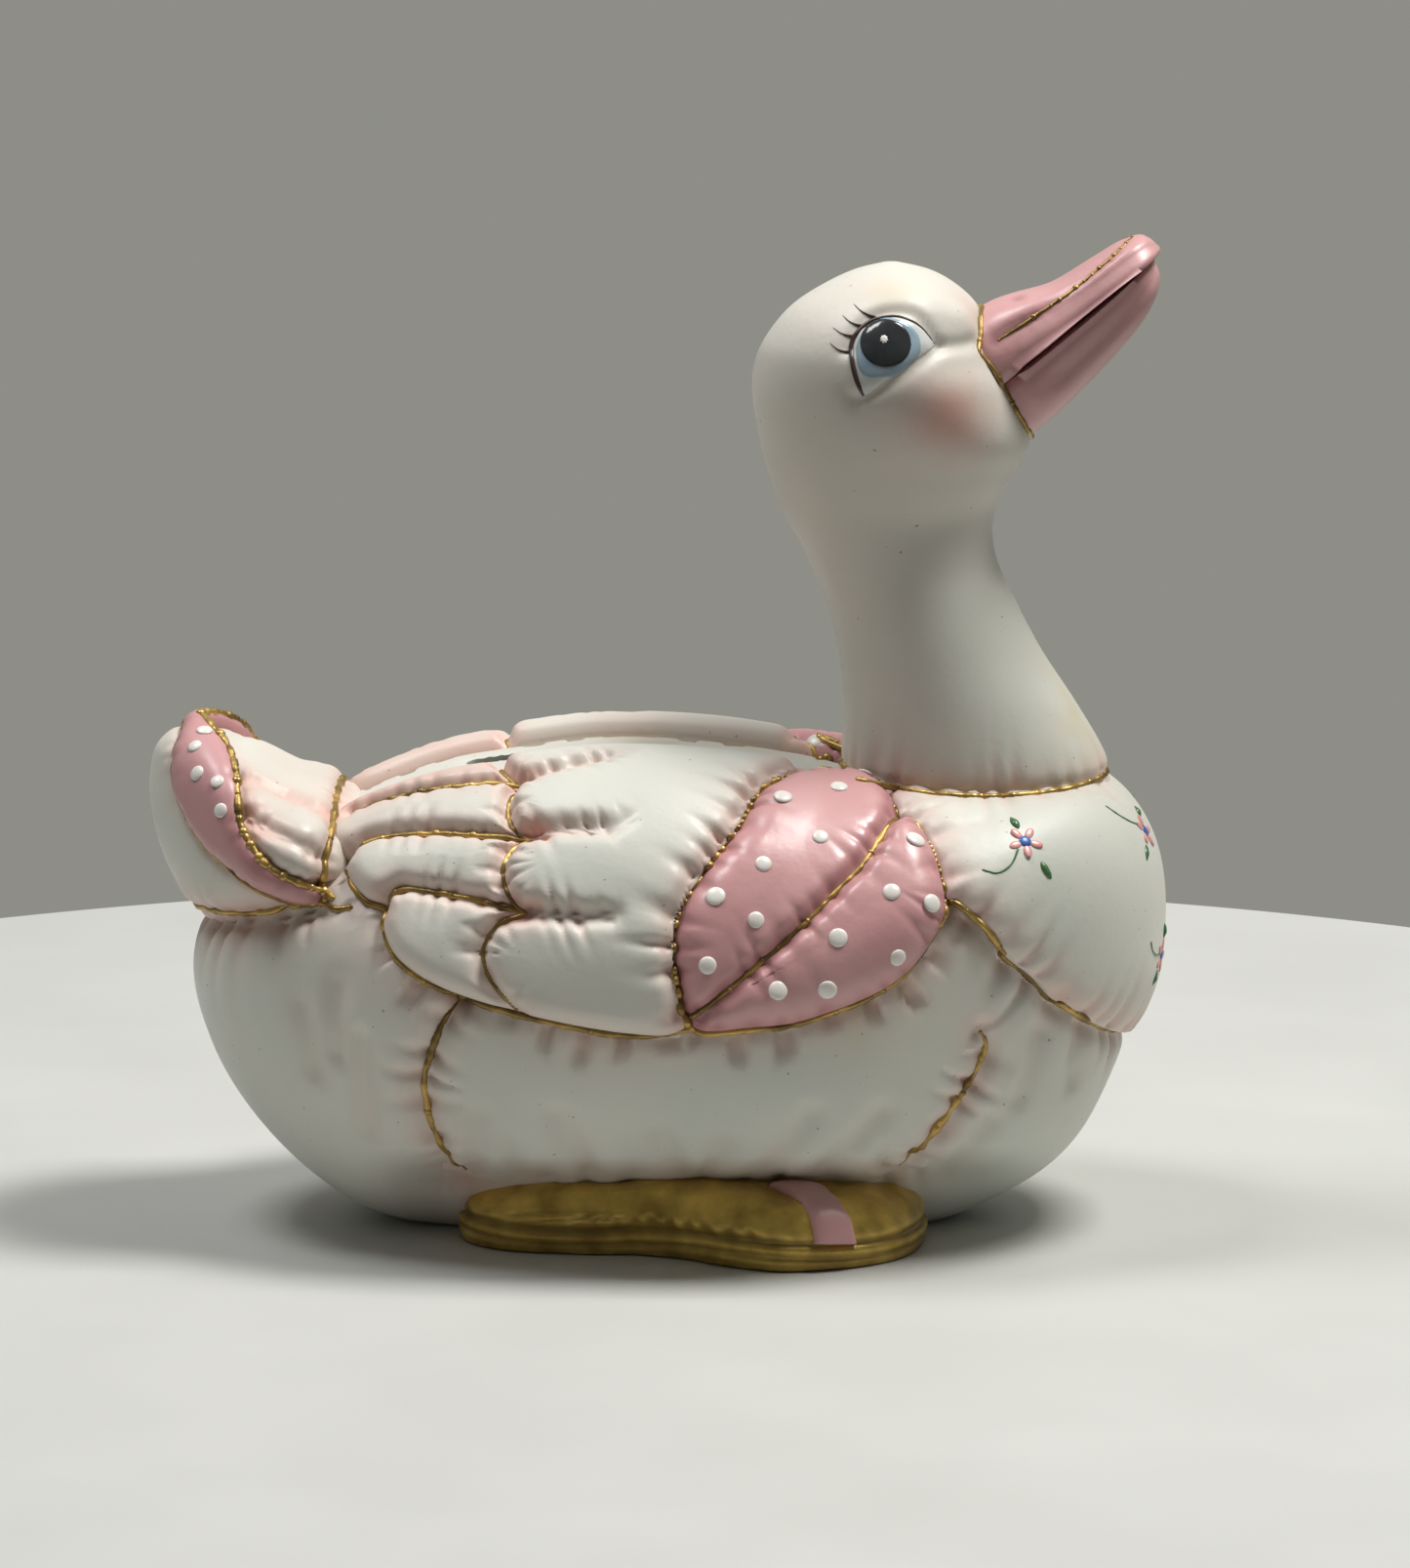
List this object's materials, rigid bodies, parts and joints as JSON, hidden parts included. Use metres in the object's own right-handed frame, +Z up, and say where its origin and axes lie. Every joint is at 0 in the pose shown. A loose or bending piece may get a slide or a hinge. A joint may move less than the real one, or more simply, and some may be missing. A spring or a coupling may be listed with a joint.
{
  "type": "piggy bank",
  "caption": "Hollow ceramic duck money bank in a quilted patchwork style, with a coin slot in the back and a rubber stopper in the base.",
  "frame": {"origin": "under the middle of the figure, on the surface it stands on", "axes": "+X is the way the duck looks, +Y is its left side, +Z is up"},
  "size_m": [0.176, 0.101, 0.172],
  "materials": {
    "bisque": "satin matt bisque with airbrushed pink in its creases",
    "rose": "satin dusty rose",
    "gold": "antique gold lustre",
    "rubber": "matt"
  },
  "bodies": {
    "bank": {"body_shell": "bisque", "breast_bib": "bisque", "neck_and_head": "bisque", "upper_bill": "rose", "lower_bill": "rose", "tail_shell": "bisque", "tail_band": "rose", "right_wing": "bisque", "right_upper_patch": "rose", "right_lower_patch": "rose", "left_wing": "bisque", "left_upper_patch": "rose", "left_lower_patch": "rose", "right_slipper": "gold", "left_slipper": "gold", "right_slipper_strap": "rose", "left_slipper_strap": "rose"},
    "stopper": {"stopper": "rubber"}
  },
  "joints": [
    {"name": "stopper_pull", "type": "slide", "parent": "bank", "child": "stopper", "axis": [0, 0, -1], "range_m": [0, 0.03]}
  ]
}
